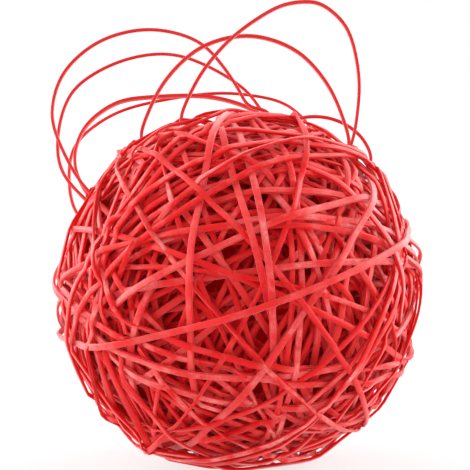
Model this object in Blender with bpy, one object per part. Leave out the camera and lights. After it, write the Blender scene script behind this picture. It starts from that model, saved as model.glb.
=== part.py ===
"""Rubber band ball with seven slack bands looping out of its top.

The ball is wound from flat elastic bands. Each band of the outer layers is a
closed ring of its own, laid over everything wound before it and drawn tight
from bump to bump. The mass of deeper bands is one body. Metres, +Z up, the
desk at z = 0, front at -Y.
"""

import math

import bpy
import bmesh
import numpy as np

# Sizes, all in metres
BALL_DIAMETER = 0.100
BAND_WIDTH = 0.0020
BAND_THICKNESS = 0.0007
LOOSE_WIDTH = 0.0020
LOOSE_THICKNESS = 0.0010
REST_GAP = 0.0003
SQUASH = 0.00025
EXIT_MARGIN = 0.0006
KNEE_RADIUS = 0.0014
SAG = 0.0026
CARRIED_WITHIN = 0.0022
BURIED_SPARE = 0.0002
SLIDE_STEP = 0.0002

# Counts
TIMES_STACKED = 6.5
WOUND_CORNERS = 28
LOOSE_CORNERS = 40
CORE_POINTS = 940
MOST_SLIDES = 60

# Colours, linear
BAND_RED = (0.72, 0.012, 0.014, 1.0)
LOOSE_RED = (0.66, 0.006, 0.008, 1.0)
DEEP_RED = (0.24, 0.003, 0.005, 1.0)

# Everything that fits follows from the sizes
BALL_RADIUS = BALL_DIAMETER / 2
LAYER = BAND_THICKNESS + REST_GAP
CORE_RADIUS = BALL_RADIUS - TIMES_STACKED * LAYER
DESK_DISTANCE = BALL_RADIUS - 1.3 * LAYER
MM_ON_BALL = BALL_DIAMETER / 100

# Wound bands in the order they are laid: heading and rise of the ring's axis and
# where its first corner lies, in degrees, and how far the ring lies off the
# ball's middle, in millimetres on a ball of 100 mm.
WOUND_BANDS = (
    (108.0, 10.0, 10.63270396197, 0.0),
    (98.0, 17.0, 7.74642739496, 8.0),
    (142.12677304532, 81.33586450007, 9.73984138263, -2.67621201778),
    (30.53861417295, 30.5740722624, 11.01929769412, -5.62463348028),
    (63.75507452585, 65.81056036986, 2.72802447919, 4.26845543528),
    (152.66869273898, -12.59492376935, 6.48185326748, 1.65732558381),
    (77.63275344677, 32.1286420545, 3.71040316162, 2.65981868051),
    (79.29278661574, -53.82851903385, 15.86682765511, -0.98092842681),
    (84.74635947353, 11.33719930788, 1.72137761258, -6.38783962946),
    (170.02654776011, 57.10645075279, 12.08271633835, -0.73873403944),
    (160.05907345949, 54.47842908263, 7.73952960859, 2.0071590859),
    (145.38209182494, -44.98472073472, 9.59219499337, 5.92559595605),
    (28.81389167187, 3.33020822281, 7.4987341469, -2.80859567095),
    (45.13475677929, -3.39330159045, 10.41587461823, 0.6405075987),
    (59.46399204146, 40.91194485849, 8.84765277001, 2.11982023662),
    (142.12162067082, -17.88398283734, 6.10203998064, -0.92255162493),
    (4.91239098933, -49.87793081943, 3.87815681574, -3.58579310966),
    (150.46850113043, 21.11695963942, 0.1693610579, 0.82286844678),
    (35.31033532187, 25.61777295055, 2.93811502785, 0.08207923921),
    (28.38456037686, 18.87411242337, 7.37793681002, 0.10504914736),
    (34.49785702627, -17.16920084078, 8.36366113004, 0.00185682087),
    (42.14917753568, -17.62913230174, 4.77198497669, 1.18361556733),
    (122.82503815407, 76.26872400196, 9.12878400415, -0.43915573607),
    (108.33743430739, 62.69167410159, 1.15981212347, 0.28659079364),
    (103.7228579635, 54.42755192836, 5.75073378239, 1.56197645826),
    (10.78708720227, 33.26480383448, 4.45270955225, -4.90108424149),
    (55.23723974961, 28.77153782565, 10.8517071494, 6.52783698063),
    (142.9562149381, 59.58608558192, 7.95025188732, 1.60194526052),
    (-179.93638639453, -15.63606726974, 12.72979847255, -7.46257313308),
    (8.12789700761, 4.98379020722, 6.42857142857, 0.82628316321),
    (168.46246813278, 1.05555153582, 6.42857142857, 2.96139217141),
    (111.59510146479, -61.71212819221, 12.13375905507, 3.95900728231),
    (97.35260025953, -66.31032481333, 12.05043605493, -2.21367296527),
    (7.48282240986, -35.99984614263, 3.52534915916, 8.81137561929),
    (14.61806391194, -71.64525301594, 3.43235049301, -3.16345068232),
)

# The bands that the ball stands on, by their place in that list
RESTING_BANDS = (29, 30)

# Slack bands. The first number is how far the loop leans back in degrees. The
# rest are its bends: angle about the ball in degrees, height off it in mm.
SLACK_BANDS = (
    (12, (52.6, 1.5), (56.5, 10.5), (62.0, 22.0), (69.7, 33.4), (75.0, 36.1),
     (80.0, 34.4), (88.0, 27.0), (96.6, 17.5), (104.0, 8.5), (109.0, 1.6)),
    (17, (53.4, 2.0), (60.5, 9.3), (68.0, 16.2), (77.0, 22.6), (88.0, 25.4),
     (98.0, 23.1), (108.0, 16.4), (116.0, 9.2), (122.8, 2.0)),
    (23, (79.5, 2.0), (81.6, 5.0), (86.6, 6.0), (92.0, 15.0), (99.0, 27.5), (108.0, 34.7),
     (119.0, 37.0), (128.5, 33.6), (135.5, 26.3), (141.0, 14.5), (145.6, 2.0)),
    (30, (76.0, 1.6), (82.2, 6.6), (87.3, 13.6), (95.0, 21.6), (105.0, 30.1),
     (118.0, 33.0), (127.0, 31.4), (135.5, 24.2), (143.0, 14.8), (147.2, 2.0)),
    (37, (75.0, 1.6), (79.0, 6.4), (85.0, 12.2), (96.0, 18.0), (108.0, 21.7), (119.6, 25.3),
     (129.0, 22.9), (137.5, 15.6), (143.0, 6.0), (144.8, 1.5)),
    (44, (64.0, 2.0), (71.0, 15.8), (79.0, 23.6), (90.0, 26.7), (106.0, 27.6),
     (120.0, 28.0), (131.0, 24.3), (141.0, 14.5), (149.0, 5.0), (151.0, 1.5)),
    (26, (44.6, 2.0), (47.5, 6.0), (53.2, 9.1), (60.0, 10.1), (66.5, 9.0),
     (72.0, 6.2), (75.4, 1.5)),
)


def clear_scene():
    for item in list(bpy.data.objects):
        bpy.data.objects.remove(item, do_unlink=True)


def rubber(name, colour):
    """A Principled rubber of one plain colour."""
    material = bpy.data.materials.new(name)
    material.use_nodes = True
    shader = material.node_tree.nodes["Principled BSDF"]
    shader.inputs["Base Color"].default_value = colour
    shader.inputs["Roughness"].default_value = 0.48
    material.diffuse_color = colour
    return material


def press_flat(shaper):
    """Takes off what would sink into the desk and closes the flat spot that is left."""
    parts = shaper.verts[:] + shaper.edges[:] + shaper.faces[:]
    bmesh.ops.bisect_plane(
        shaper, geom=parts, dist=1e-7, plane_co=(0, 0, 0), plane_no=(0, 0, -1), clear_outer=True
    )
    rim = [edge for edge in shaper.edges if edge.is_boundary]
    flat = bmesh.ops.edgeloop_fill(shaper, edges=rim)
    bmesh.ops.triangulate(shaper, faces=flat["faces"])


def add_solid(name, points, faces, colour):
    """A closed body from corners and faces, its faces turned outward."""
    mesh = bpy.data.meshes.new(name)
    mesh.from_pydata([tuple(float(v) for v in p) for p in points], [], faces)
    shaper = bmesh.new()
    shaper.from_mesh(mesh)
    bmesh.ops.triangulate(shaper, faces=shaper.faces[:])
    if min(v.co.z for v in shaper.verts) < 0:
        press_flat(shaper)
    bmesh.ops.recalc_face_normals(shaper, faces=shaper.faces[:])
    shaper.to_mesh(mesh)
    shaper.free()
    item = bpy.data.objects.new(name, mesh)
    bpy.context.scene.collection.objects.link(item)
    mesh.materials.append(rubber(name + "_rubber", colour))
    return item


def ring_faces(count):
    """Faces of a ring whose section has four corners at each of count stations."""
    faces = []
    for i in range(count):
        a = 4 * i
        b = 4 * ((i + 1) % count)
        for j in range(4):
            k = (j + 1) % 4
            faces.append((a + j, a + k, b + k, b + j))
    return faces


def unit(vector):
    vector = np.asarray(vector, dtype=float)
    return vector / np.linalg.norm(vector)


class Ring:
    """A band wound round the ball: a cone about an axis, with a radius at each corner."""

    def __init__(self, heading, rise, turn, offset):
        h = math.radians(heading)
        e = math.radians(rise)
        self.axis = np.array([math.cos(e) * math.cos(h), math.cos(e) * math.sin(h), math.sin(e)])
        self.lift = math.asin(offset / BALL_RADIUS)
        low = np.array([0.0, 0.0, -1.0])
        low = low - self.axis * self.axis.dot(low)
        self.first = unit(low)
        self.second = np.cross(self.axis, self.first)
        self.count = WOUND_CORNERS
        self.angles = turn + np.arange(self.count) * 2 * math.pi / self.count
        self.radii = np.full(self.count, CORE_RADIUS)

    def direction(self, angle, sideways=0.0):
        lift = self.lift + sideways
        across = np.multiply.outer(np.cos(angle), self.first)
        across = across + np.multiply.outer(np.sin(angle), self.second)
        return math.cos(lift) * across + math.sin(lift) * self.axis

    def chord(self, angle, thickness):
        """Radius of the straight run between corners, at each angle."""
        step = 2 * math.pi / self.count
        place = np.mod(angle - self.angles[0], 2 * math.pi) / step
        i = np.floor(place).astype(int) % self.count
        part = place - np.floor(place)
        wide = 2 * math.asin(math.cos(self.lift) * math.sin(step / 2))
        r0 = self.radii[i] + thickness
        r1 = self.radii[(i + 1) % self.count] + thickness
        down = r0 * np.sin(part * wide) + r1 * np.sin((1 - part) * wide)
        return r0 * r1 * math.sin(wide) / down

    def covers(self, directions, reach):
        """Which directions lie on the band, and its top radius there."""
        off = np.abs(np.arcsin(np.clip(directions @ self.axis, -1, 1)) - self.lift)
        angle = np.arctan2(directions @ self.second, directions @ self.first)
        top = self.chord(angle, BAND_THICKNESS)
        return off * top <= BAND_WIDTH / 2 + reach, top

    def corners(self):
        points = []
        at = self.direction(self.angles)
        path = at * self.radii[:, None]
        for i in range(self.count):
            along = path[(i + 1) % self.count] - path[i - 1]
            side = unit(np.cross(along, at[i])) * BAND_WIDTH / 2
            out = at[i] * BAND_THICKNESS
            points += [path[i] - side, path[i] + side, path[i] + side + out, path[i] - side + out]
        return np.array(points)


class Slack:
    """A band with a buried run along the core and a free loop, all in one plane."""

    def __init__(self, lean, *bends):
        a = math.radians(lean)
        self.side = np.array([0.0, math.cos(a), -math.sin(a)])
        self.right = np.array([1.0, 0.0, 0.0])
        self.up = np.array([0.0, math.sin(a), math.cos(a)])
        self.from_angle = math.radians(bends[0][0])
        self.to_angle = math.radians(bends[-1][0])
        self.buried = CORE_RADIUS + REST_GAP + LOOSE_THICKNESS / 2 + BURIED_SPARE
        self.path = self.outline(bends)

    def polar(self, angle, radius):
        return np.array([radius * math.cos(angle), radius * math.sin(angle)])

    def outline(self, bends):
        """Closed path in the plane: free loop, knee, buried run and knee."""
        keys = []
        for angle, height in bends:
            keys.append(self.polar(math.radians(angle), BALL_RADIUS + height * MM_ON_BALL))
        knee = KNEE_RADIUS
        for end, way in ((self.to_angle, -1.0), (self.from_angle, 1.0)):
            turn = []
            for along, high in ((-0.5, 2.3), (-0.45, 1.1), (0.2, 0.25), (1.5, 0.0)):
                turn.append(self.polar(end + way * along * knee / self.buried, self.buried + high * knee))
            if way < 0:
                keys += turn
                span = self.to_angle - self.from_angle
                runs = max(3, int(span / 0.16))
                for i in range(1, runs):
                    keys.append(self.polar(self.to_angle - span * i / runs, self.buried))
            else:
                keys += turn[::-1]
        return self.smoothed(np.array(keys))

    def smoothed(self, keys):
        """A round path through the keys, with its corners closest where it bends most."""
        dense = []
        count = len(keys)
        for i in range(count):
            p0, p1, p2, p3 = (keys[(i + j) % count] for j in (-1, 0, 1, 2))
            span = np.linalg.norm(p2 - p1)
            back = max(np.linalg.norm(p1 - p0), 1e-6)
            on = max(np.linalg.norm(p3 - p2), 1e-6)
            m1 = span * ((p1 - p0) / back * span + (p2 - p1) / span * back) / (back + span)
            m2 = span * ((p2 - p1) / span * on + (p3 - p2) / on * span) / (on + span)
            for k in range(24):
                t = k / 24
                a = 2 * t**3 - 3 * t**2 + 1
                b = t**3 - 2 * t**2 + t
                c = -2 * t**3 + 3 * t**2
                d = t**3 - t**2
                dense.append(a * p1 + b * m1 + c * p2 + d * m2)
        dense = np.array(dense)
        steps = np.roll(dense, -1, axis=0) - dense
        lengths = np.linalg.norm(steps, axis=1)
        heading = np.unwrap(np.arctan2(steps[:, 1], steps[:, 0]))
        bend = np.abs(np.diff(np.append(heading, heading[-1])))
        bend = np.convolve(np.concatenate([bend[-4:], bend, bend[:4]]), np.full(9, 1 / 9), "valid")
        weight = lengths / lengths.sum() + 1.1 * bend / bend.sum()
        total = np.concatenate([[0.0], np.cumsum(weight)])
        wanted = np.arange(LOOSE_CORNERS) * total[-1] / LOOSE_CORNERS
        closed = np.vstack([dense, dense[:1]])
        return np.column_stack([np.interp(wanted, total, closed[:, k]) for k in (0, 1)])

    def in_space(self, flat, sideways):
        return flat[0] * self.right + flat[1] * self.up + sideways * self.side

    def covers(self, directions, reach):
        """Which directions lie on the buried run, and its top radius."""
        off = np.abs(np.arcsin(np.clip(directions @ self.side, -1, 1)))
        angle = np.arctan2(directions @ self.up, directions @ self.right)
        spare = (LOOSE_WIDTH / 2 + reach + KNEE_RADIUS) / BALL_RADIUS
        on = off * BALL_RADIUS <= LOOSE_WIDTH / 2 + reach
        on &= (angle > self.from_angle - spare) & (angle < self.to_angle + spare)
        return on, np.full(len(directions), self.buried + LOOSE_THICKNESS / 2 + BURIED_SPARE)

    def roots(self):
        """Points on the two free ends, where they climb through the wound bands."""
        points = []
        closed = np.vstack([self.path, self.path[:1]])
        for a, b in zip(closed[:-1], closed[1:]):
            for part in np.linspace(0, 1, 12):
                p = a + (b - a) * part
                far = np.linalg.norm(p)
                if self.buried + 0.2 * LOOSE_THICKNESS < far < BALL_RADIUS + 2.4 * LAYER:
                    across = np.array([b[1] - a[1], a[0] - b[0]])
                    across = across / max(np.linalg.norm(across), 1e-9) * LOOSE_THICKNESS / 2
                    for side in (-0.5, 0.0, 0.5):
                        points.append(self.in_space(p + across, side * LOOSE_WIDTH))
                        points.append(self.in_space(p - across, side * LOOSE_WIDTH))
        return np.array(points)

    def corners(self):
        points = []
        count = len(self.path)
        for i in range(count):
            before = unit(self.path[i] - self.path[i - 1])
            after = unit(self.path[(i + 1) % count] - self.path[i])
            normal = unit(np.array([-(before + after)[1], (before + after)[0]]))
            grow = LOOSE_THICKNESS / 2 / max(0.75, math.sqrt((1 + before.dot(after)) / 2))
            inner = self.path[i] + normal * grow
            outer = self.path[i] - normal * grow
            half = LOOSE_WIDTH / 2
            points += [self.in_space(inner, -half), self.in_space(inner, half)]
            points += [self.in_space(outer, half), self.in_space(outer, -half)]
        return np.array(points)


def draw_tight(ring, laid, floor=None):
    """Sets the ring's radii so that it just clears the core and all that lies below it."""
    angle = np.linspace(0, 2 * math.pi, 361)[:-1] + ring.angles[0]
    lines = [ring.direction(angle, k * BAND_WIDTH / BALL_RADIUS) for k in (-0.5, -0.2, 0.2, 0.5)]
    towards = np.vstack(lines)
    needed = np.full(len(towards), CORE_RADIUS + REST_GAP)
    for other in laid:
        on, top = other.covers(towards, REST_GAP)
        needed = np.where(on, np.maximum(needed, top + REST_GAP), needed)
    needed = needed.reshape(len(lines), -1).max(axis=0)
    step = 2 * math.pi / ring.count
    place = np.mod(angle - ring.angles[0], 2 * math.pi) / step
    edge = np.minimum(place.astype(int), ring.count - 1)
    part = place - edge
    wide = 2 * math.asin(math.cos(ring.lift) * math.sin(step / 2))
    near = np.sin((1 - part) * wide) / math.sin(wide)
    far = np.sin(part * wide) / math.sin(wide)
    limit = 1 / needed
    curve = np.full(ring.count, limit.min())
    held = []
    if floor is not None:
        low = ring.direction(ring.angles)[:, 2]
        held = list(np.argsort(low)[:2])
        curve[held] = -low[held] / (floor - BAND_THICKNESS)
    for sweep in range(30):
        for k in range(sweep % 2, ring.count, 2):
            if k in held:
                continue
            after = edge == k
            before = edge == (k - 1) % ring.count
            room = (limit - far * curve[(k + 1) % ring.count])[after & (near > 0.02)]
            spare = (room / near[after & (near > 0.02)]).min()
            room = (limit - near * curve[k - 1])[before & (far > 0.02)]
            spare = min(spare, (room / far[before & (far > 0.02)]).min())
            curve[k] += (spare - curve[k]) * (0.5 if sweep < 20 else 1.0)
    for sweep in range(60):
        straight = (np.roll(curve, 1) + np.roll(curve, -1)) / (2 * math.cos(wide))
        taut = np.minimum(curve, straight)
        taut[held] = curve[held]
        curve = taut
    ring.radii = 1 / curve


def clear_of_roots(ring, roots):
    """True where the ring passes beside every free end of the slack bands."""
    towards = roots / np.linalg.norm(roots, axis=1)[:, None]
    off = np.abs(np.arcsin(np.clip(towards @ ring.axis, -1, 1)) - ring.lift) * BALL_RADIUS
    return off.min() > BAND_WIDTH / 2 + EXIT_MARGIN


def wind(laid, roots, heading, rise, turn, offset, floor=None):
    """Lays one more band, slid sideways only as far as the free ends of the slack bands need."""
    for slide in sorted(range(-MOST_SLIDES, MOST_SLIDES + 1), key=abs):
        ring = Ring(heading, rise, math.radians(turn), offset * MM_ON_BALL + slide * SLIDE_STEP)
        if clear_of_roots(ring, roots):
            break
    draw_tight(ring, laid, floor)
    laid.append(ring)


def deeper_mass(laid):
    """The mass of deeper bands: full height under the bands it carries, sagging between them."""
    index = np.arange(CORE_POINTS)
    high = 1 - (2 * index + 1) / CORE_POINTS
    turn = index * math.pi * (3 - math.sqrt(5))
    wide = np.sqrt(1 - high**2)
    ways = np.column_stack([wide * np.cos(turn), wide * np.sin(turn), high])
    carries = np.zeros(CORE_POINTS, bool)
    for band in laid:
        on, top = band.covers(ways, BAND_WIDTH)
        carries |= on & (top < CORE_RADIUS + CARRIED_WITHIN)
    shaper = bmesh.new()
    for way in ways:
        shaper.verts.new(way)
    bmesh.ops.convex_hull(shaper, input=shaper.verts[:])
    shaper.verts.index_update()
    faces = [tuple(v.index for v in f.verts) for f in shaper.faces]
    shaper.free()
    return ways * (CORE_RADIUS - np.where(carries, 0.0, SAG))[:, None], faces


def main():
    clear_scene()
    laid = [Slack(*numbers) for numbers in SLACK_BANDS]
    slack_count = len(laid)
    roots = np.vstack([band.roots() for band in laid])
    for number, (heading, rise, turn, offset) in enumerate(WOUND_BANDS):
        floor = DESK_DISTANCE + SQUASH if number in RESTING_BANDS else None
        wind(laid, roots, heading, rise, turn, offset, floor)

    centre = np.array([0.0, 0.0, DESK_DISTANCE])
    points, faces = deeper_mass(laid)
    points = points + centre
    solids = [("inner_windings", points, faces, DEEP_RED)]
    for number, band in enumerate(laid[:slack_count], 1):
        solids.append(("loose_band_%d" % number, band.corners() + centre, ring_faces(LOOSE_CORNERS), LOOSE_RED))
    for number, band in enumerate(laid[slack_count:], 1):
        solids.append(("wound_band_%02d" % number, band.corners() + centre, ring_faces(band.count), BAND_RED))

    every = np.vstack([points for name, points, faces, colour in solids])
    middle = (every.min(axis=0) + every.max(axis=0)) / 2
    middle[2] = 0.0
    for name, points, faces, colour in solids:
        add_solid(name, points - middle, faces, colour)


main()
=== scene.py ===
"""Looks of a ball wound from red rubber bands, with slack bands looping out of its top.

The frame's solids give the line of each outer band and each slack band. The
deeper bands are wound here, one after another, through the room that is left
between those and the middle of the ball. Metres, +Z up, front at -Y.
"""

import math

import bmesh
import bpy
import numpy as np
from bpy.props import FloatProperty, FloatVectorProperty, IntProperty, PointerProperty
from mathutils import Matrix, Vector


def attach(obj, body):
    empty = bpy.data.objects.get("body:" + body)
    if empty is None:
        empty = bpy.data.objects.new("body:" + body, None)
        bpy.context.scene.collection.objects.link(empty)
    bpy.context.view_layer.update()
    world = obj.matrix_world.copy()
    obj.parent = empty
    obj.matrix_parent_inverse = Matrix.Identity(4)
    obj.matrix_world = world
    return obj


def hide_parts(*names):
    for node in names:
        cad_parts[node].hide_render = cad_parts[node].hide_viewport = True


bl_info = {
    "name": "Rubber Band Ball",
    "version": (1, 0, 0),
    "blender": (4, 5, 0),
    "location": "View3D > Sidebar > Band Ball",
    "description": "Builds the bands of a rubber band ball, and a stage to show it on",
    "category": "Add Mesh",
}

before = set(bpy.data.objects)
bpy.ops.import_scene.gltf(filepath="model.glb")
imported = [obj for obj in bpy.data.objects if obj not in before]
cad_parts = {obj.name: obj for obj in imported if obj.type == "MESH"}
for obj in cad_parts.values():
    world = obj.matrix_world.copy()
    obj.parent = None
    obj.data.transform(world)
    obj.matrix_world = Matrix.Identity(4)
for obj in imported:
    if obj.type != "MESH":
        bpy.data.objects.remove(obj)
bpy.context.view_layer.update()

MM = 0.001
WOUND_NODES = sorted(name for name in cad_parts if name.startswith("wound_band_"))
LOOSE_NODES = sorted(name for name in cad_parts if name.startswith("loose_band_"))

# Reading of the solids
CORNERS_PER_WOUND_BAND = 28
JOINED_WITHIN = 0.02 * MM   # vertices this close are one
CORNER_SPREAD = 0.004       # radians that a corner's vertices lie from its turn at most
SUNK = 0.05 * MM            # how far a swept outer band sits into the ones that it rests on
FLAT_SIDE = 0.9             # least share of a face's normal along the side that it belongs to

# Steps along one band: outer, slack and deeper ones as swept, and as laid out in the shell
OUTER_STEPS = 180
SLACK_STEPS = 260
DEEP_STEPS = 120
RING_STEPS = 360
FILL_STEPS = 1100

# Winding of the deeper bands
TRIES_PER_BAND = 3
MOST_TOUCHING = 0.2         # share of a band's run that may come too close to others
TOO_CLOSE = 0.25 * MM
SPARE = 0.12 * MM           # room kept over and under a band
DEEP_GROUPS = 6
TWIN_SHARE = 0.5            # share of bands that lie beside the one before
OFF_MIDDLE = 4.5            # mm that the planes of free bands pass the ball's middle by

# Sway of a band's flat face, in degrees, and how many of the deeper ones tip far over
OUTER_SWAY = 13
DEEP_SWAY = 12
TIPPED_SWAY = 42
TIPPED_SHARE = 0.35

# Powder fades with depth: full at the outer distance from the middle, little at the inner one.
# This is partly wear and partly painted shade, which leaves the deeper bands darker and more
# saturated
RUBBED_AND_LIT_FROM = 45.5 * MM
RUBBED_AND_LIT_TO = 51.5 * MM
LEAST_RUBBED_IN_SHADE = 0.04

# How far each slack loop is twisted edge-on to the front, from 0 to 1, once it is free
LOOP_TWISTS = (0.0, 0.0, 0.8, 1.0, 0.25, 1.0, 0.7)
LOOP_FREE_FROM = 51 * MM
LOOP_FREE_OVER = 8 * MM


def middle_of_ball():
    """Middle of a ball fitted to inner_windings, by the points where it doesn't sag."""
    points = np.array([tuple(v.co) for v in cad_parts["inner_windings"].data.vertices])
    middle = (points.min(axis=0) + points.max(axis=0)) / 2
    rounds_of_fitting = 8
    for _ in range(rounds_of_fitting):
        far = np.linalg.norm(points - middle, axis=1)
        full = points[far > (far.min() + far.max()) / 2]
        rows = np.column_stack([2 * full, np.ones(len(full))])
        middle = np.linalg.lstsq(rows, (full ** 2).sum(axis=1), rcond=None)[0][:3]
    return middle


BALL_MIDDLE = middle_of_ball()


def linear(hex_colour):
    """An sRGB hex colour as linear red, green and blue."""
    parts = [int(hex_colour[i:i + 2], 16) / 255 for i in (0, 2, 4)]
    return tuple(p / 12.92 if p <= 0.04045 else ((p + 0.055) / 1.055) ** 2.4 for p in parts)


# Settings

WOUND_WIDTH = 1.75 * MM
WOUND_THICKNESS = 0.75 * MM
EDGE_RADIUS = 0.13 * MM
CAMERA_DISTANCE = 0.600
FROM_BALL_TO_CAMERA = (-1.41, -597.23, 57.58)   # mm, at that distance
CAMERA_TILT = 86                                # degrees up from straight down


class BandSizes(bpy.types.PropertyGroup):
    """Sizes of the bands, and how the deeper ones are wound"""
    wound_width: FloatProperty(
        name="Wound width", description="Width of a band stretched round the ball",
        default=WOUND_WIDTH, min=0.5 * MM, max=6 * MM, precision=5, unit="LENGTH")
    wound_thickness: FloatProperty(
        name="Wound thickness", description="Thickness of a stretched band",
        default=WOUND_THICKNESS, min=0.2 * MM, max=2 * MM, precision=5, unit="LENGTH")
    loose_width: FloatProperty(
        name="Slack width", description="Width of a slack band",
        default=1.7 * MM, min=0.5 * MM, max=6 * MM, precision=5, unit="LENGTH")
    loose_thickness: FloatProperty(
        name="Slack thickness", description="Thickness of a slack band",
        default=0.95 * MM, min=0.2 * MM, max=2 * MM, precision=5, unit="LENGTH")
    edge_radius: FloatProperty(
        name="Edge radius", description="Rounding of a band's cut edges",
        default=EDGE_RADIUS, min=0.02 * MM, max=0.5 * MM, precision=5, unit="LENGTH")
    deep_bands: IntProperty(
        name="Deeper bands",
        description="How many deeper bands are tried; those that find no room are left out",
        default=500, min=10, max=800)
    deepest: FloatProperty(
        name="Deepest level",
        description="Distance of the lowest deeper bands from the ball's middle",
        default=39.8 * MM, min=20 * MM, max=44 * MM, precision=5, unit="LENGTH")
    highest: FloatProperty(
        name="Highest level", description="Distance that the last deeper bands are wound at",
        default=50.6 * MM, min=44 * MM, max=53 * MM, precision=5, unit="LENGTH")
    seed: IntProperty(
        name="Seed", description="Sets the lay of the deeper bands", default=7, min=0)


class BandColours(bpy.types.PropertyGroup):
    """Colours of the rubber, and the darker red of its painted shade"""
    rubber: FloatVectorProperty(
        name="Rubber", description="Clean red rubber, seen on the cut sides of a band",
        subtype="COLOR", default=linear("E80006"), min=0, max=1)
    bloom: FloatVectorProperty(
        name="Bloom", description="Paler red of the rubbed and powdered flat faces",
        subtype="COLOR", default=linear("FF9C98"), min=0, max=1)
    # Painted shade: a darker red that each material mixes into the rubber by a fixed share, most
    # for the packed middle
    deep: FloatVectorProperty(
        name="Deep rubber", description="Darkest of the bands, deep in the ball",
        subtype="COLOR", default=linear("C80002"), min=0, max=1)


class StageSettings(bpy.types.PropertyGroup):
    """Floor, light and camera"""
    ground: FloatVectorProperty(
        name="Ground", description="Colour of the floor", subtype="COLOR",
        default=linear("F6F6F6"), min=0, max=1)
    sky_strength: FloatProperty(
        name="Sky", description="Strength of the even light from all round",
        default=0.82, min=0, max=2)
    key_strength: FloatProperty(
        name="Key", description="Strength of the soft light from the upper left",
        default=0.35, min=0, max=5)
    front_strength: FloatProperty(
        name="Front", description="Strength of the soft low light from the front",
        default=0.12, min=0, max=5)
    fill_strength: FloatProperty(
        name="Fill", description="Strength of the soft light from the right",
        default=0.15, min=0, max=5)
    side_strength: FloatProperty(
        name="Sides", description="Strength of the soft lights from both sides behind the ball",
        default=4.5, min=0, max=8)
    camera_distance: FloatProperty(
        name="Camera distance", description="From the ball's middle to the camera",
        default=CAMERA_DISTANCE, min=0.2, max=3, unit="LENGTH")
    focal_length: FloatProperty(
        name="Focal length", description="Of the camera's lens, for a 36 mm sensor",
        default=163.04, min=20, max=400)


# Directions and closed lines

def unit(vectors):
    """The vectors at length 1."""
    return vectors / np.maximum(np.linalg.norm(vectors, axis=-1, keepdims=True), 1e-12)


def full_turn(count):
    """Even angles round a full turn."""
    return np.arange(count) * 2 * math.pi / count


def plane_of(axis):
    """Two directions at right angles to each other in the plane across an axis."""
    first = unit(np.cross(axis, (0.31, 0.52, 0.8)))
    return first, np.cross(axis, first)


def run_of(line):
    """The way that a closed line runs at each of its points."""
    return unit(np.roll(line, -1, axis=0) - np.roll(line, 1, axis=0))


def flattest_way(points):
    """The direction in which a set of points is thinnest."""
    return np.linalg.svd(points - points.mean(axis=0), full_matrices=False)[2][2]


def rounded(points, count):
    """A closed smooth line through the points, with the given number of even steps."""
    before = np.roll(points, 1, axis=0)
    after = np.roll(points, -1, axis=0)
    far = np.roll(points, -2, axis=0)
    parts = 24
    dense = []
    for t in np.arange(parts) / parts:
        dense.append(0.5 * (2 * points + (after - before) * t
                            + (2 * before - 5 * points + 4 * after - far) * t ** 2
                            + (3 * points - before - 3 * after + far) * t ** 3))
    dense = np.stack(dense, axis=1).reshape(-1, points.shape[1])
    closed = np.vstack([dense, dense[:1]])
    lengths = np.linalg.norm(np.diff(closed[:, :3], axis=0), axis=1)
    run = np.concatenate([[0], np.cumsum(lengths)])
    wanted = np.arange(count) * run[-1] / count
    return np.column_stack([np.interp(wanted, run, closed[:, k]) for k in range(points.shape[1])])


def eased(values, times):
    """A closed row of numbers or points, each drawn towards its neighbours."""
    for _ in range(times):
        values = (np.roll(values, 1, axis=0) + 2 * values + np.roll(values, -1, axis=0)) / 4
    return values


# Lines taken from the solids

def merged_copy(node):
    """A copy of a solid's mesh with its loose triangles joined up."""
    shaper = bmesh.new()
    shaper.from_mesh(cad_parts[node].data)
    bmesh.ops.remove_doubles(shaper, verts=shaper.verts, dist=JOINED_WITHIN)
    return shaper


def wound_path(node):
    """Middle line of an outer band, from its inner corners, and the way each point faces."""
    shaper = merged_copy(node)
    points = np.array([tuple(v.co) for v in shaper.verts]) - BALL_MIDDLE
    shaper.free()
    first, second = plane_of(flattest_way(points))
    turn = np.arctan2(points @ second, points @ first)
    far = np.linalg.norm(points, axis=1)
    step = 2 * math.pi / CORNERS_PER_WOUND_BAND
    start = turn[far.argmin()]
    near = np.abs((turn - start + step / 2) % step - step / 2) < CORNER_SPREAD
    place = np.round(((turn - start) % (2 * math.pi)) / step).astype(int) % CORNERS_PER_WOUND_BAND
    line = []
    facing = []
    half = bpy.context.scene.band_sizes.wound_thickness / 2 - SUNK
    for corner in range(CORNERS_PER_WOUND_BAND):
        here = np.flatnonzero(near & (place == corner))
        inner = points[here[far[here].argsort()[:2]]].mean(axis=0)
        out = unit(inner)
        line.append(inner + out * half)
        facing.append(out)
    return np.array(line) + BALL_MIDDLE, np.array(facing)


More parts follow.
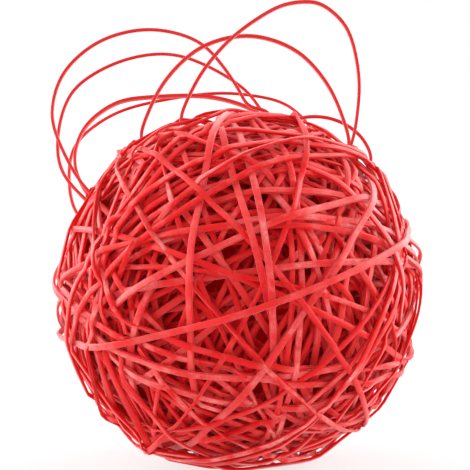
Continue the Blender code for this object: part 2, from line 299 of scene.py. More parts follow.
def loose_path(node):
    """Middle line of a slack band, from the two rims of one side, and the way each point faces."""
    shaper = merged_copy(node)
    points = np.array([tuple(v.co) for v in shaper.verts])
    side = flattest_way(points)
    middle = points.mean(axis=0)
    one_side = {f for f in shaper.faces if f.normal.dot(Vector(side)) > FLAT_SIDE}
    rims = [e for e in shaper.edges if sum(f in one_side for f in e.link_faces) == 1]
    onward = {}
    for edge in rims:
        a, b = (v.index for v in edge.verts)
        onward.setdefault(a, []).append(b)
        onward.setdefault(b, []).append(a)
    shaper.free()
    loops = []
    left = set(onward)
    while left:
        here = left.pop()
        loop = [here]
        while True:
            after = [k for k in onward[here] if k in left]
            if not after:
                break
            here = after[0]
            left.discard(here)
            loop.append(here)
        loops.append(loop)
    loops.sort(key=lambda loop: -np.ptp(points[loop], axis=0).sum())
    outer = points[loops[0]]
    inner = points[loops[1]]
    facing = []
    line = []
    drop = side * (points - middle).dot(side).max()
    for p in outer:
        a = inner
        b = np.roll(inner, -1, axis=0)
        along = np.clip(((p - a) * (b - a)).sum(axis=1) / ((b - a) ** 2).sum(axis=1), 0, 1)
        foot = a + (b - a) * along[:, None]
        near = foot[np.linalg.norm(foot - p, axis=1).argmin()]
        line.append((p + near) / 2 - drop)
        facing.append(unit(p - near))
    return np.array(line), np.array(facing)


# Winding of the deeper bands

class Shell:
    """Which parts of the ball's outer shell are already filled, by direction and height.

    A direction is a cell of a cube wrapped round the ball, and a height is a layer, counted
    out from the ball's middle.
    """

    SIDE = 170          # cells along an edge of the cube, about 0.5 mm each on the ball
    LOW = 37.0 * MM     # height of the lowest layer
    STEP = 0.15 * MM    # height of one layer
    LAYERS = 128
    OPEN = LAYERS + 40  # layer that stands for open air where no roof is met
    BLOCKED = 999       # cost of a height that has no room
    BAND_SAMPLES = 7    # points across a band's width and its thickness
    DESK_SPARE = 0.15 * MM

    def __init__(self):
        self.full = np.zeros((6 * self.SIDE * self.SIDE, self.LAYERS), bool)

    def cells(self, ways):
        """The cell that each direction falls in."""
        size = np.abs(ways)
        main = size.argmax(axis=-1)
        big = np.take_along_axis(ways, main[..., None], -1)[..., 0]
        others = np.array([[1, 2], [0, 2], [0, 1]])[main]
        flat = np.take_along_axis(ways, others, -1) / np.abs(big)[..., None]
        grid = ((np.arctan(flat) * 4 / math.pi + 1) / 2 * self.SIDE).astype(int)
        grid = grid.clip(0, self.SIDE - 1)
        return ((main * 2 + (big > 0)) * self.SIDE + grid[..., 0]) * self.SIDE + grid[..., 1]

    def layer(self, heights):
        """The layer that each height falls in."""
        return np.floor((heights - self.LOW) / self.STEP).astype(int)

    def fill_points(self, points):
        """Fills the place of each point, given from the ball's middle."""
        far = np.linalg.norm(points, axis=-1)
        row = self.layer(far).clip(0, self.LAYERS - 1)
        self.full[self.cells(points), row] = True

    def fill_band(self, line, facing, width, thickness):
        """Fills the room that a band takes."""
        line = rounded(line - BALL_MIDDLE, FILL_STEPS)
        facing = unit(rounded(facing, FILL_STEPS))
        side = unit(np.cross(run_of(line), facing))
        for across in np.linspace(-width / 2, width / 2, self.BAND_SAMPLES):
            for high in np.linspace(-thickness / 2, thickness / 2, self.BAND_SAMPLES):
                self.fill_points(line + side * across + facing * high)

    def fill_below_desk(self):
        """Keeps the bands above the surface that the ball stands on."""
        fine = np.tan(((np.arange(self.SIDE) + 0.5) / self.SIDE * 2 - 1) * math.pi / 4)
        u, v = np.meshgrid(fine, fine, indexing="ij")
        for face in range(6):
            ways = np.empty((self.SIDE, self.SIDE, 3))
            main = face // 2
            others = [k for k in range(3) if k != main]
            ways[..., main] = 1.0 if face % 2 else -1.0
            ways[..., others[0]] = u
            ways[..., others[1]] = v
            ways = unit(ways).reshape(-1, 3)
            down = np.maximum(-ways[:, 2], 1e-6)
            limit = self.layer((BALL_MIDDLE[2] - self.DESK_SPARE) / down)
            rows = np.arange(self.LAYERS)[None, :] >= limit[:, None]
            self.full[face * self.SIDE ** 2:(face + 1) * self.SIDE ** 2] |= rows

    def free_room(self, ways, level, need):
        """Lowest and highest free height nearest to a level, for rows of directions."""
        taken = self.full[self.cells(ways)].any(axis=1)
        tall = max(int(math.ceil(need / self.STEP)), 1)
        run = np.cumsum(np.pad(taken, ((0, 0), (1, 0))), axis=1)
        clear = (run[:, tall:] - run[:, :-tall]) == 0
        wish = self.layer(level)
        cost = np.abs(np.arange(clear.shape[1])[None, :] - wish[:, None])
        slot = (cost + np.where(clear, 0, self.BLOCKED)).argmin(axis=1)
        index = np.arange(self.LAYERS)[None, :]
        below = taken & (index < slot[:, None])
        above = taken & (index > slot[:, None])
        floor = np.where(below.any(axis=1), self.LAYERS - below[:, ::-1].argmax(axis=1), 0)
        roof = np.where(above.any(axis=1), above.argmax(axis=1), self.OPEN)
        return self.LOW + floor * self.STEP, self.LOW + roof * self.STEP


def pulled_tight(low, high):
    """Heights of a band drawn tight round the ball, over every floor and under every roof.

    Between two pins the band is the tightest line over the floors. Where that breaks
    through a roof, the worst spot gets a pin just below the roof, and it is drawn again.
    """
    count = len(low)
    turn = full_turn(count)
    most_pins = 16
    let_through = 0.08 * MM
    pins = {int(low.argmax()): float(low.max())}
    for _ in range(most_pins):
        marks = sorted(pins)
        line = np.empty(count)
        for a, b in zip(marks, marks[1:] + [marks[0] + count]):
            hull = []
            for k in range(a, b + 1):
                i = k % count
                r = pins[i] if k in (a, b) else low[i]
                angle = turn[i] + (2 * math.pi if k >= count else 0)
                p = (r * math.cos(angle), r * math.sin(angle), k, r)
                while len(hull) >= 2:
                    q, s = hull[-1], hull[-2]
                    if (q[0] - s[0]) * (p[1] - s[1]) - (q[1] - s[1]) * (p[0] - s[0]) > 0:
                        break
                    hull.pop()
                hull.append(p)
            for q, s in zip(hull, hull[1:]):
                wide = (s[2] - q[2]) * 2 * math.pi / count
                part = np.arange(s[2] - q[2] + 1) * 2 * math.pi / count
                reach = q[3] * np.sin(part) + s[3] * np.sin(wide - part)
                line[np.arange(q[2], s[2] + 1) % count] = q[3] * s[3] * math.sin(wide) / reach
        over = line - high
        worst = int(over.argmax())
        if over[worst] < let_through or worst in pins:
            break
        pins[worst] = float(max(high[worst], low[worst]))
    return line


def wind_deep_bands(sizes):
    """Winds the deeper bands, lowest first, each through the room that is free."""
    chance = np.random.default_rng(sizes.seed)
    shell = Shell()
    shell.fill_below_desk()
    for node in WOUND_NODES:
        line, facing = wound_path(node)
        shell.fill_band(line, facing, sizes.wound_width, sizes.wound_thickness)
    for node in LOOSE_NODES:
        line, facing = loose_path(node)
        shell.fill_band(line, facing, sizes.loose_width, sizes.loose_thickness)
    bands = []
    for number in range(sizes.deep_bands):
        # The power leaves more of the tries for the outer levels, which are seen
        share = (number / sizes.deep_bands) ** 0.75
        level = sizes.deepest + (sizes.highest - sizes.deepest) * share
        twin = bands[-1][1] if bands and chance.uniform() < TWIN_SHARE else None
        tries = [fitted_band(shell, sizes, level, chance, twin) for _ in range(TRIES_PER_BAND)]
        fault, line, facing = min(tries, key=lambda one: one[0])
        if fault > MOST_TOUCHING:
            continue
        shell.fill_band(line, facing, sizes.wound_width, sizes.wound_thickness)
        bands.append((line, facing))
    return bands


def fitted_band(shell, sizes, level, chance, twin=None):
    """One ring, drawn tight near a level, and the share of it that still touches.

    Its plane is random, or close beside the twin's, as where one long band goes round twice.
    """
    turn = full_turn(RING_STEPS)
    most_lift = 0.35
    if twin is None:
        axis = unit(chance.normal(size=3))
        off = chance.normal(0, OFF_MIDDLE) * MM / level
        lift = math.asin(np.clip(off, -most_lift, most_lift))
    else:
        # 1.1 to 2.2 widths beside the twin, and tipped by about 2 degrees
        axis = flattest_way(twin)
        beside = chance.choice((-1, 1)) * chance.uniform(1.1, 2.2) * sizes.wound_width
        lift = math.asin((twin @ axis).mean()) + beside / level
        axis = unit(axis + chance.normal(0, 0.035, 3))
    first, second = plane_of(axis)
    around = np.outer(np.cos(turn), first) + np.outer(np.sin(turn), second)
    ways = []
    for across in (-0.5, -0.25, 0, 0.25, 0.5):
        tip = lift + across * sizes.wound_width / level
        ways.append(math.cos(tip) * around + math.sin(tip) * axis)
    centre_line = ways[2]
    need = sizes.wound_thickness + 2 * SPARE
    wish = np.full(RING_STEPS, level - need / 2)
    floor, roof = shell.free_room(np.stack(ways, axis=1), wish, need)
    low = np.maximum(floor + need / 2, sizes.deepest)
    high = roof - need / 2
    line = eased(pulled_tight(low, high), times=3)
    touching = np.maximum(line - high, low - line) > TOO_CLOSE
    return float(touching.mean()), centre_line * line[:, None] + BALL_MIDDLE, centre_line


# Sweep of a band along its line

def add_node(tree, kind, settings=None, links=None):
    """Adds one node. Links name an input and give its value or the output it is fed from."""
    node = tree.nodes.new(kind)
    for name, value in (settings or {}).items():
        setattr(node, name, value)
    for name, value in (links or {}).items():
        socket = node.inputs[name]
        if isinstance(value, bpy.types.NodeSocket):
            tree.links.new(value, socket)
        else:
            socket.default_value = value
    return node


def band_sweep():
    """Node tree that turns closed lines into flat bands with rounded edges.

    Each line carries its points' outward way and girth. The section attribute says where
    a point lies across the band: X over its width and Y over its thickness, -0.5 to 0.5.
    """
    tree = bpy.data.node_groups.get("Band sweep")
    if tree:
        return tree
    tree = bpy.data.node_groups.new("Band sweep", "GeometryNodeTree")
    tree.interface.new_socket("Lines", in_out="INPUT", socket_type="NodeSocketGeometry")
    for name, value in (("Width", WOUND_WIDTH), ("Thickness", WOUND_THICKNESS),
                        ("Edge radius", EDGE_RADIUS)):
        socket = tree.interface.new_socket(name, in_out="INPUT", socket_type="NodeSocketFloat")
        socket.default_value = value
        socket.subtype = "DISTANCE"
    for name, value in (("Points per band", DEEP_STEPS), ("Edge steps", 1)):
        socket = tree.interface.new_socket(name, in_out="INPUT", socket_type="NodeSocketInt")
        socket.default_value = value
    tree.interface.new_socket("Rubber", in_out="INPUT", socket_type="NodeSocketMaterial")
    tree.interface.new_socket("Bands", in_out="OUTPUT", socket_type="NodeSocketGeometry")

    given = add_node(tree, "NodeGroupInput").outputs
    line = add_node(tree, "GeometryNodeMeshToCurve", links={"Mesh": given["Lines"]})
    line = add_node(tree, "GeometryNodeResampleCurve",
                    links={"Curve": line.outputs[0], "Count": given["Points per band"]})
    outward = add_node(tree, "GeometryNodeInputNamedAttribute", {"data_type": "FLOAT_VECTOR"},
                       {"Name": "outward"})
    line = add_node(tree, "GeometryNodeSetCurveNormal", {"mode": "FREE"},
                    {"Curve": line.outputs[0], "Normal": outward.outputs[0]})
    section = add_node(tree, "GeometryNodeCurvePrimitiveQuadrilateral", {"mode": "RECTANGLE"},
                       {"Width": given["Thickness"], "Height": given["Width"]})
    section = add_node(tree, "GeometryNodeFilletCurve", {"mode": "POLY"},
                       {"Curve": section.outputs[0], "Radius": given["Edge radius"],
                        "Count": given["Edge steps"]})
    place = add_node(tree, "GeometryNodeInputPosition")
    split = add_node(tree, "ShaderNodeSeparateXYZ", links={0: place.outputs[0]})
    high = add_node(tree, "ShaderNodeMath", {"operation": "DIVIDE"},
                    {0: split.outputs["X"], 1: given["Thickness"]})
    wide = add_node(tree, "ShaderNodeMath", {"operation": "DIVIDE"},
                    {0: split.outputs["Y"], 1: given["Width"]})
    both = add_node(tree, "ShaderNodeCombineXYZ",
                    links={"X": wide.outputs[0], "Y": high.outputs[0]})
    section = add_node(tree, "GeometryNodeStoreNamedAttribute",
                       {"data_type": "FLOAT_VECTOR", "domain": "POINT"},
                       {"Geometry": section.outputs[0], "Name": "section",
                        "Value": both.outputs[0]})
    girth = add_node(tree, "GeometryNodeInputNamedAttribute", {"data_type": "FLOAT"},
                     {"Name": "girth"})
    body = add_node(tree, "GeometryNodeCurveToMesh",
                    links={"Curve": line.outputs[0], "Profile Curve": section.outputs[0],
                           "Scale": girth.outputs[0]})
    body = add_node(tree, "GeometryNodeSetShadeSmooth", links={"Geometry": body.outputs[0]})
    body = add_node(tree, "GeometryNodeSetMaterial",
                    links={"Geometry": body.outputs[0], "Material": given["Rubber"]})
    body = add_node(tree, "GeometryNodeRealizeInstances", links={"Geometry": body.outputs[0]})
    add_node(tree, "NodeGroupOutput", links={"Bands": body.outputs[0]})
    return tree


def pressed_flat(mesh):
    """Presses a mesh flat where it meets the desk."""
    places = np.empty(len(mesh.vertices) * 3)
    mesh.vertices.foreach_get("co", places)
    places[2::3] = np.maximum(places[2::3], 0)
    mesh.vertices.foreach_set("co", places)
    mesh.update()


def sweep_bands(name, bands, material, width, thickness, edge, points_per_band, edge_steps):
    """One piece made of closed bands. Each band is (line, facing, tone, girth).

    Tone is how much powder the band holds. It is thinned deeper in the ball, partly as
    painted shade that leaves deeper bands darker and more saturated. Girth scales its section.
    """
    points = []
    facing = []
    tones = []
    girths = []
    edges = []
    for line, outward, tone, girth in bands:
        start = len(points)
        points += [tuple(p) for p in line]
        facing += [tuple(v) for v in outward]
        # Less powder deeper in the ball: partly wear, partly painted shade
        depth = np.linalg.norm(line - BALL_MIDDLE, axis=1)
        rubbed_and_lit = np.clip((depth - RUBBED_AND_LIT_FROM) / (RUBBED_AND_LIT_TO - RUBBED_AND_LIT_FROM), 0, 1)
        tones += list(tone * (LEAST_RUBBED_IN_SHADE + (1 - LEAST_RUBBED_IN_SHADE) * rubbed_and_lit))
        girths += [girth] * len(line)
        edges += [(start + i, start + (i + 1) % len(line)) for i in range(len(line))]
    lines = bpy.data.meshes.new(name)
    lines.from_pydata(points, edges, [])
    outward_ways = lines.attributes.new("outward", "FLOAT_VECTOR", "POINT")
    outward_ways.data.foreach_set("vector", np.ravel(facing))
    lines.attributes.new("tone", "FLOAT", "POINT").data.foreach_set("value", tones)
    lines.attributes.new("girth", "FLOAT", "POINT").data.foreach_set("value", girths)
    piece = bpy.data.objects.new(name, lines)
    bpy.context.scene.collection.objects.link(piece)
    tree = band_sweep()
    sweep = piece.modifiers.new("Band sweep", "NODES")
    sweep.node_group = tree
    sockets = {s.name: s.identifier for s in tree.interface.items_tree if s.in_out == "INPUT"}
    for key, value in (("Width", width), ("Thickness", thickness), ("Edge radius", edge),
                       ("Points per band", points_per_band), ("Edge steps", edge_steps),
                       ("Rubber", material)):
        sweep[sockets[key]] = value
    whole = bpy.data.meshes.new_from_object(
        piece.evaluated_get(bpy.context.evaluated_depsgraph_get()))
    piece.modifiers.remove(sweep)
    piece.data = whole
    pressed_flat(whole)
    whole.name = name
    bpy.data.meshes.remove(lines)
    return piece


def swayed(line, facing, chance, most):
    """Tips a band's flat face to either side along its run, by about so many degrees."""
    turn = full_turn(len(line))
    tip = np.zeros(len(line))
    for waves in (2, 3, 5, 8):
        tip += chance.normal() * np.sin(waves * turn + chance.uniform(0, 6.3))
    tip *= math.radians(most) / 2
    side = np.cross(run_of(line), facing)
    return np.cos(tip)[:, None] * facing + np.sin(tip)[:, None] * side


def twisted_loop(line, facing, share):
    """Turns the cut side of a free loop to the front, by a share of the full turn."""
    turned = unit(np.cross(run_of(line), (0.0, 1.0, 0.0)))
    turned *= np.sign((turned * facing).sum(axis=1, keepdims=True))
    far = np.linalg.norm(line - BALL_MIDDLE, axis=1)
    free = np.clip((far - LOOP_FREE_FROM) / LOOP_FREE_OVER, 0, 1)
    weight = (share * free * free * (3 - 2 * free))[:, None]
    return unit(eased(facing * (1 - weight) + turned * weight, times=6))


# Materials

# How powder lies on a stretched band, rubbed off in places, and on a slack one, where it lies
# evenly. Face gives the share at the middle and at the edge of the flat face, and the other
# pairs the least and the most that a pattern lets through. Relief is the bump's strength.
STRETCHED_POWDER = {"both_faces": False, "face": (0.62, 0.03), "patch": (0.02, 1.6),
                    "grain": (0.65, 1.3), "streak": (0.45, 1.5), "relief": 0.3}
SLACK_POWDER = {"both_faces": True, "face": (0.2, 0.03), "patch": (0.5, 1.2),
                "grain": (0.97, 1.03), "streak": (0.9, 1.1), "relief": 0.08}

# Patterns of the powder. Real grains are finer than a pixel, so these are drawn coarser
PATCH_LENGTH = 20 / 3 * MM
GRAIN_WIDTH = 0.5 * MM
STREAKS_ACROSS = 7.0        # over a band's width, so 0.25 mm each
DRAW_WAVE_ACROSS = 36.0     # radians over a band's width, so draw lines 0.3 mm apart

RUBBER_IOR = 1.52
CLEAN_ROUGHNESS = 0.42
POWDERED_ROUGHNESS = 0.65
SHEEN_ROUGHNESS = 0.45
SHEEN_TINT = (1.0, 0.85, 0.84, 1.0)


def powdered_and_shaded_rubber(name, colours, dusting, painted_shade_share, gloss, sheen):
    """Natural rubber band, extruded as a tube, cut into rings and dusted with powder.

    The cut sides keep a clean saturated red. The flat faces hold a little powder, so they
    are paler and duller, in patches and streaks where they rubbed on each other. Powder
    also gives a soft sheen at a flat angle, less of it deep in the ball. The red is mixed
    towards the deep red by a fixed share, as painted shade, and the powder thins deeper in
    the ball, partly as painted shade.
    """
    material = bpy.data.materials.get(name)
    if material:
        return material
    material = bpy.data.materials.new(name)
    material.use_nodes = True
    tree = material.node_tree
    shader = tree.nodes["Principled BSDF"]
    place = add_node(tree, "ShaderNodeTexCoord").outputs["Object"]
    section = add_node(tree, "ShaderNodeAttribute", {"attribute_name": "section"})
    across = add_node(tree, "ShaderNodeSeparateXYZ", links={0: section.outputs["Vector"]})
    tone = add_node(tree, "ShaderNodeAttribute", {"attribute_name": "tone"}).outputs["Fac"]

    # Powder lies on the outward face, or on both: it fades over the last 0.2 mm of thickness
    high = across.outputs["Y"]
    if dusting["both_faces"]:
        high = add_node(tree, "ShaderNodeMath", {"operation": "ABSOLUTE"}, {0: high}).outputs[0]
    flat = add_node(tree, "ShaderNodeMapRange", {"interpolation_type": "SMOOTHSTEP"},
                    {"Value": high, "From Min": 0.25, "From Max": 0.48})
    # It is lost over the last 0.25 mm before each edge of the face
    off = add_node(tree, "ShaderNodeMath", {"operation": "ABSOLUTE"}, {0: across.outputs["X"]})
    middle_share, edge_share = dusting["face"]
    face = add_node(tree, "ShaderNodeMapRange", {"interpolation_type": "SMOOTHSTEP"},
                    {"Value": off.outputs[0], "From Min": 0.36, "From Max": 0.5,
                     "To Min": middle_share, "To Max": edge_share})
    powder = add_node(tree, "ShaderNodeMath", {"operation": "MULTIPLY"},
                      {0: flat.outputs[0], 1: face.outputs[0]})

    patches = add_node(tree, "ShaderNodeTexNoise", {"noise_dimensions": "3D"},
                       {"Vector": place, "Scale": 1 / PATCH_LENGTH, "Detail": 4.0,
                        "Roughness": 0.6})
    grains = add_node(tree, "ShaderNodeTexNoise", {"noise_dimensions": "3D"},
                      {"Vector": place, "Scale": 1 / GRAIN_WIDTH, "Detail": 2.0,
                       "Roughness": 0.55})
    # Streaks run along the band, and wander where the patches change
    over = add_node(tree, "ShaderNodeMath", {"operation": "MULTIPLY"},
                    {0: across.outputs["X"], 1: STREAKS_ACROSS})
    drift = add_node(tree, "ShaderNodeMath", {"operation": "MULTIPLY"},
                     {0: patches.outputs["Fac"], 1: 4.0})
    run = add_node(tree, "ShaderNodeCombineXYZ",
                   links={"X": over.outputs[0], "Y": drift.outputs[0]})
    streaks = add_node(tree, "ShaderNodeTexNoise", {"noise_dimensions": "3D"},
                       {"Vector": run.outputs[0], "Scale": 1.0, "Detail": 1.0})
    for pattern, lowest, (least, most) in ((patches, 0.44, dusting["patch"]),
                                           (streaks, 0.3, dusting["streak"]),
                                           (grains, 0.3, dusting["grain"])):
        share = add_node(tree, "ShaderNodeMapRange", {},
                         {"Value": pattern.outputs["Fac"], "From Min": lowest,
                          "From Max": 0.7, "To Min": least, "To Max": most})
        powder = add_node(tree, "ShaderNodeMath", {"operation": "MULTIPLY"},
                          {0: powder.outputs[0], 1: share.outputs[0]})
    # Tone holds each band's powder, thinned deeper in the ball, partly as painted shade
    powder = add_node(tree, "ShaderNodeMath", {"operation": "MULTIPLY"},
                      {0: powder.outputs[0], 1: tone})
    powder = add_node(tree, "ShaderNodeClamp", {}, {"Value": powder.outputs[0]})

    # Painted shade: the rubber's red is mixed towards the deep red by a fixed share
    clean = add_node(tree, "ShaderNodeMix", {"data_type": "RGBA"},
                     {0: painted_shade_share, 6: (*colours.rubber, 1), 7: (*colours.deep, 1)})
    dusted = add_node(tree, "ShaderNodeMix", {"data_type": "RGBA"},
                      {0: powder.outputs[0], 6: clean.outputs[2], 7: (*colours.bloom, 1)})
    tree.links.new(dusted.outputs[2], shader.inputs["Base Color"])
    dull = add_node(tree, "ShaderNodeMapRange", {},
                    {"Value": powder.outputs[0], "To Min": CLEAN_ROUGHNESS,
                     "To Max": POWDERED_ROUGHNESS})
    tree.links.new(dull.outputs[0], shader.inputs["Roughness"])

    # Draw lines of the extrusion across the flat face, and the grains
    wave = add_node(tree, "ShaderNodeMath", {"operation": "MULTIPLY"},
                    {0: across.outputs["X"], 1: DRAW_WAVE_ACROSS})
    draw_lines = add_node(tree, "ShaderNodeMath", {"operation": "SINE"}, {0: wave.outputs[0]})
    height = add_node(tree, "ShaderNodeMath", {"operation": "MULTIPLY_ADD"},
                      {0: draw_lines.outputs[0], 1: 0.12, 2: grains.outputs["Fac"]})
    bump = add_node(tree, "ShaderNodeBump", {},
                    {"Strength": dusting["relief"], "Distance": 0.04 * MM,
                     "Height": height.outputs[0]})
    tree.links.new(bump.outputs[0], shader.inputs["Normal"])
    for socket, value in (("IOR", RUBBER_IOR), ("Specular IOR Level", gloss),
                          ("Sheen Weight", sheen), ("Sheen Roughness", SHEEN_ROUGHNESS),
                          ("Sheen Tint", SHEEN_TINT)):
        shader.inputs[socket].default_value = value
    return material


# Operators

class BALL_OT_slack_bands(bpy.types.Operator):
    """Make the seven slack bands that loop out of the ball's top"""
    bl_idname = "band_ball.slack_bands"
    bl_label = "Slack Bands"

    def execute(self, context):
        sizes = context.scene.band_sizes
        # The slack loops take 0.4 of the deep red, as painted shade that dims them under the lamps
        material = powdered_and_shaded_rubber("Slack_rubber_with_painted_shade", context.scene.band_colours,
                                   SLACK_POWDER, painted_shade_share=0.4, gloss=0.45, sheen=0.15)
        for number, (node, twist) in enumerate(
                zip(LOOSE_NODES, LOOP_TWISTS, strict=True), 1):
            line, facing = loose_path(node)
            both = rounded(np.hstack([line, facing]), SLACK_STEPS)
            line = eased(both[:, :3], times=4)
            facing = twisted_loop(line, unit(both[:, 3:]), twist)
            bands = [(line, facing, 1.0, 1.0)]
            piece = sweep_bands("slack_loop_%d" % number, bands, material,
                                sizes.loose_width, sizes.loose_thickness,
                                sizes.edge_radius * 2, SLACK_STEPS, edge_steps=2)
            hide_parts(node)
            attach(piece, "root")
        return {"FINISHED"}


class BALL_OT_outer_bands(bpy.types.Operator):
    """Make the outer wound bands, each along the line of its own solid"""
    bl_idname = "band_ball.outer_bands"
    bl_label = "Outer Bands"

    def execute(self, context):
        sizes = context.scene.band_sizes
        material = powdered_and_shaded_rubber("Stretched_natural_rubber", context.scene.band_colours,
                                   STRETCHED_POWDER, painted_shade_share=0.0, gloss=0.35, sheen=0.6)
        chance = np.random.default_rng(sizes.seed + 100)
        for number, node in enumerate(WOUND_NODES, 1):
            line, facing = wound_path(node)
            both = rounded(np.hstack([line, facing]), OUTER_STEPS)
            line = eased(both[:, :3], times=2)
            facing = swayed(line, unit(both[:, 3:]), chance, OUTER_SWAY)
            # Few bands are pale with powder, and many nearly clean
            tone = 0.2 + 0.8 * float(chance.uniform()) ** 1.6
            bands = [(line, facing, tone, 1.0)]
            piece = sweep_bands("outer_band_%02d" % number, bands, material,
                                sizes.wound_width, sizes.wound_thickness,
                                sizes.edge_radius, OUTER_STEPS, edge_steps=2)
            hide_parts(node)
            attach(piece, "root")
        return {"FINISHED"}


class BALL_OT_deeper_bands(bpy.types.Operator):
    """Wind the deeper bands through the room under and between the outer ones"""
    bl_idname = "band_ball.deeper_bands"
    bl_label = "Deeper Bands"

    def execute(self, context):
        sizes = context.scene.band_sizes
        # The deeper bands take 0.1 of the deep red, as painted shade deeper in the ball
        material = powdered_and_shaded_rubber("Packed_rubber_with_painted_shade", context.scene.band_colours,
                                   STRETCHED_POWDER, painted_shade_share=0.1, gloss=0.2, sheen=0.25)
        chance = np.random.default_rng(sizes.seed + 200)
        bands = []
        for line, facing in wind_deep_bands(sizes):
            sway = TIPPED_SWAY if chance.uniform() < TIPPED_SHARE else DEEP_SWAY
            facing = swayed(line, facing, chance, sway)
            tone = 0.1 + 0.9 * float(chance.uniform()) ** 1.4
            girth = float(chance.uniform(0.76, 1.08))
            bands.append((line, facing, tone, girth))
        per_group = -(-len(bands) // DEEP_GROUPS)
        for group in range(DEEP_GROUPS):
            share = bands[group * per_group:(group + 1) * per_group]
            piece = sweep_bands("deeper_bands_%d" % (group + 1), share, material,
                                sizes.wound_width, sizes.wound_thickness,
                                sizes.edge_radius, DEEP_STEPS, edge_steps=1)
            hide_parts("inner_windings")
            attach(piece, "root")
        return {"FINISHED"}


class BALL_OT_packed_middle(bpy.types.Operator):
    """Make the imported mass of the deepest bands, ridged where bands cross it"""
    bl_idname = "band_ball.packed_middle"
    bl_label = "Packed Middle"

    def execute(self, context):
        sizes = context.scene.band_sizes
        chance = np.random.default_rng(sizes.seed + 300)
        # The packed middle takes 0.8 of the deep red, as painted shade in the gaps between the
        # bands
        material = powdered_and_shaded_rubber("Deepest_rubber_in_painted_shade", context.scene.band_colours,
                                   STRETCHED_POWDER, painted_shade_share=0.8, gloss=0.05, sheen=0.0)
        shaper = bmesh.new()
        bmesh.ops.create_icosphere(shaper, subdivisions=7, radius=1.0)
        ways = np.array([tuple(v.co) for v in shaper.verts])
        base = sizes.deepest + 0.2 * MM
        high = np.zeros(len(ways))
        ridges = 90
        for layer in range(ridges):
            # One band round the middle: a ridge 0.2 to 1 mm high that slopes off at its edges
            axis = unit(chance.normal(size=3))
            off = np.abs(ways @ axis) * base / (sizes.wound_width / 2)
            ridge = (0.2 + 0.8 * layer / ridges) * MM * np.clip((1.15 - off) / 0.25, 0, 1)
            high = np.maximum(high, ridge)
        for vert, way, up in zip(shaper.verts, ways, high):
            vert.co = way * (base + up) + BALL_MIDDLE
        mesh = bpy.data.meshes.new("packed_middle")
        shaper.to_mesh(mesh)
        shaper.free()
        mesh.shade_smooth()
        mesh.materials.append(material)
        piece = bpy.data.objects.new("packed_middle", mesh)
        context.scene.collection.objects.link(piece)
        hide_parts("inner_windings")
        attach(piece, "root")
        return {"FINISHED"}


def background_rays(tree, *kinds):
    """1 for rays that see the background itself, and 0 for those that light the ball."""
    path = add_node(tree, "ShaderNodeLightPath").outputs
    seen = path[kinds[0]]
    for kind in kinds[1:]:
        seen = add_node(tree, "ShaderNodeMath", {"operation": "MAXIMUM"},
                        {0: seen, 1: path[kind]}).outputs[0]
    return seen


def floor_paper(ground):
    """White paper over a translucent table, matt, lit through from below.

    The camera and reflections see it mostly plain white, with the ball's shadow.
    """
    material = bpy.data.materials.new("Floor_paper")
    material.use_nodes = True
    tree = material.node_tree
    shader = tree.nodes["Principled BSDF"]
    shader.inputs["Base Color"].default_value = (*ground, 1)
    shader.inputs["Roughness"].default_value = 0.9
    shader.inputs["Specular IOR Level"].default_value = 0.0
    plain = add_node(tree, "ShaderNodeEmission", links={"Color": (1, 1, 1, 1), "Strength": 1.0})
    seen = background_rays(tree, "Is Camera Ray", "Is Glossy Ray")
    share = add_node(tree, "ShaderNodeMapRange", {},
                     {"Value": seen, "To Min": 0.55, "To Max": 0.75})
    mixed = add_node(tree, "ShaderNodeMixShader",
                     links={0: share.outputs[0], 1: shader.outputs[0], 2: plain.outputs[0]})
    tree.links.new(mixed.outputs[0], tree.nodes["Material Output"].inputs["Surface"])
    return material


def white_tent(sky_strength):
    """Even light from all round, dimmer on the camera's side, where the tent is open."""
    world = bpy.data.worlds.new("Studio")
    world.use_nodes = True
    tree = world.node_tree
    tree.nodes.clear()
    seen = background_rays(tree, "Is Camera Ray", "Is Glossy Ray", "Is Transmission Ray")
    way = add_node(tree, "ShaderNodeTexCoord").outputs["Generated"]
    way = add_node(tree, "ShaderNodeSeparateXYZ", links={0: way}).outputs["Y"]
    tent = add_node(tree, "ShaderNodeMapRange", {"interpolation_type": "SMOOTHSTEP"},
                    {"Value": way, "From Min": -0.8, "From Max": 0.5,
                     "To Min": sky_strength * 0.5, "To Max": sky_strength * 1.4})
    strength = add_node(tree, "ShaderNodeMix", {"data_type": "FLOAT"},
                        {0: seen, 2: tent.outputs[0], 3: 1.0})
    sky = add_node(tree, "ShaderNodeBackground",
                   links={"Color": (1, 1, 1, 1), "Strength": strength.outputs[0]})
    add_node(tree, "ShaderNodeOutputWorld", links={"Surface": sky.outputs[0]})
    return world


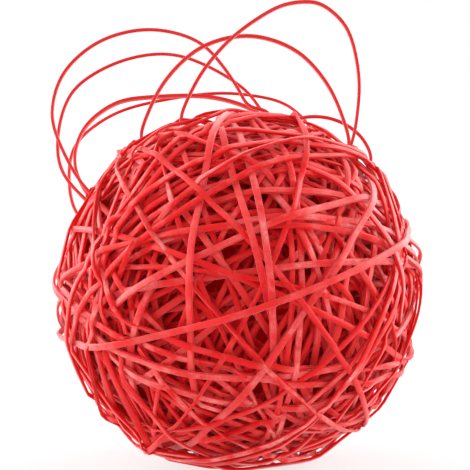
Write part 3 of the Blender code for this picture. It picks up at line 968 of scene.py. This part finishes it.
class BALL_OT_stage(bpy.types.Operator):
    """Set the pale floor, the even studio light and the camera"""
    bl_idname = "band_ball.stage"
    bl_label = "Stage"

    def execute(self, context):
        scene = context.scene
        stage = scene.band_stage
        scene.view_settings.view_transform = "Standard"

        shaper = bmesh.new()
        bmesh.ops.create_circle(shaper, cap_ends=True, segments=96, radius=30.0)
        mesh = bpy.data.meshes.new("floor")
        shaper.to_mesh(mesh)
        shaper.free()
        floor = bpy.data.objects.new("floor", mesh)
        scene.collection.objects.link(floor)
        mesh.materials.append(floor_paper(stage.ground))
        scene.world = white_tent(stage.sky_strength)

        # Each lamp's strength, the way that its light travels and its width in degrees
        for name, strength, way, wide in (
                ("key", stage.key_strength, (0.4, 0.8, -0.85), 60),
                ("front", stage.front_strength, (0.15, 1.0, -0.04), 40),
                ("fill", stage.fill_strength, (-0.8, 0.6, -0.6), 90),
                ("left_side", stage.side_strength * 1.15, (0.9, -0.3, -0.1), 70),
                ("right_side", stage.side_strength, (-0.9, -0.4, -0.15), 70)):
            lamp = bpy.data.lights.new(name, "SUN")
            lamp.energy = strength
            lamp.angle = math.radians(wide)
            holder = bpy.data.objects.new(name, lamp)
            holder.rotation_euler = Vector(way).to_track_quat("-Z", "Y").to_euler()
            holder.location = Vector(way) * -1.5
            scene.collection.objects.link(holder)

        camera = bpy.data.cameras.new("camera")
        camera.lens = stage.focal_length
        camera.sensor_width = 36.0
        camera.clip_start = 0.01
        holder = bpy.data.objects.new("camera", camera)
        reach = stage.camera_distance / CAMERA_DISTANCE
        holder.location = Vector(BALL_MIDDLE) + Vector(FROM_BALL_TO_CAMERA) * MM * reach
        holder.rotation_euler = (math.radians(CAMERA_TILT), 0, 0)
        scene.collection.objects.link(holder)
        scene.camera = holder
        return {"FINISHED"}


class BALL_PT_panel(bpy.types.Panel):
    """Lists the steps and the settings of the rubber band ball"""
    bl_idname = "BALL_PT_panel"
    bl_label = "Rubber Band Ball"
    bl_space_type = "VIEW_3D"
    bl_region_type = "UI"
    bl_category = "Band Ball"

    def draw(self, context):
        for operator in OPERATORS:
            self.layout.operator(operator.bl_idname)
        scene = context.scene
        for group in (scene.band_sizes, scene.band_colours, scene.band_stage):
            box = self.layout.box()
            for name in group.__annotations__:
                box.prop(group, name)


OPERATORS = (BALL_OT_slack_bands, BALL_OT_outer_bands, BALL_OT_deeper_bands,
             BALL_OT_packed_middle, BALL_OT_stage)
CLASSES = (BandSizes, BandColours, StageSettings, *OPERATORS, BALL_PT_panel)


def register():
    for item in CLASSES:
        bpy.utils.register_class(item)
    bpy.types.Scene.band_sizes = PointerProperty(type=BandSizes)
    bpy.types.Scene.band_colours = PointerProperty(type=BandColours)
    bpy.types.Scene.band_stage = PointerProperty(type=StageSettings)


def unregister():
    del bpy.types.Scene.band_stage
    del bpy.types.Scene.band_colours
    del bpy.types.Scene.band_sizes
    for item in reversed(CLASSES):
        bpy.utils.unregister_class(item)


def main():
    register()
    bpy.ops.band_ball.slack_bands()
    bpy.ops.band_ball.outer_bands()
    bpy.ops.band_ball.deeper_bands()
    bpy.ops.band_ball.packed_middle()
    bpy.ops.band_ball.stage()
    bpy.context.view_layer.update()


if __name__ == "__main__":
    main()
